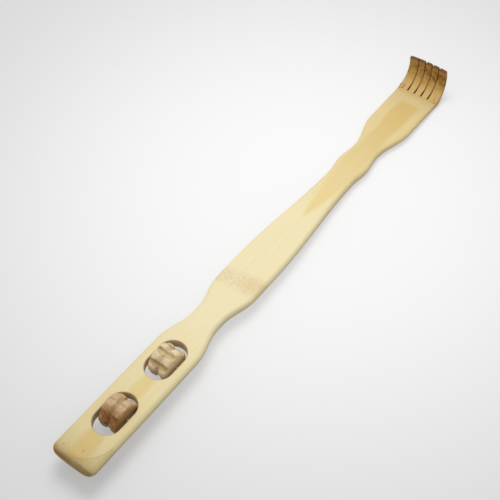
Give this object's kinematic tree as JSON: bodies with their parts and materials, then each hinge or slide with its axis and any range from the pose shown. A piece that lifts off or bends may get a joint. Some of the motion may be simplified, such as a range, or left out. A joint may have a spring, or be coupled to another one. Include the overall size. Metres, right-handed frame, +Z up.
{
  "type": "back scratcher",
  "caption": "Bamboo back scratcher: a long shaped strip, heat-bent at one end into a kerfed hand, with lobed massage rollers that turn on pins in windows through its handle.",
  "frame": {"origin": "on the table, under the middle of the object's box, as it lies on its front roller and the heel of its hand with the fingers up", "axes": "+X from the butt to the fingers, +Y to the left seen from the butt, +Z up"},
  "size_m": [0.4688, 0.04, 0.0281],
  "materials": {
    "bamboo": "sanded bamboo, toasted brown at the fingers and the butt",
    "rear_roller_wood": "turned wood, scorched brown, waxed",
    "front_roller_wood": "turned pale wood, scorched in the flutes",
    "pin_bamboo": "plain bamboo dowel"
  },
  "bodies": {
    "handle": {"blade": "bamboo", "rear_pin": "pin_bamboo", "front_pin": "pin_bamboo"},
    "rear_wheel": {"rear_roller": "rear_roller_wood"},
    "front_wheel": {"front_roller": "front_roller_wood"}
  },
  "joints": [
    {"name": "rear_roll", "type": "hinge", "parent": "handle", "child": "rear_wheel", "pos_m": [-0.18618, -0.00037, 0.01448], "axis": [0, 1, 0], "continuous": true},
    {"name": "front_roll", "type": "hinge", "parent": "handle", "child": "front_wheel", "pos_m": [-0.13381, -0.00037, 0.0127], "axis": [0, 1, 0], "continuous": true}
  ]
}
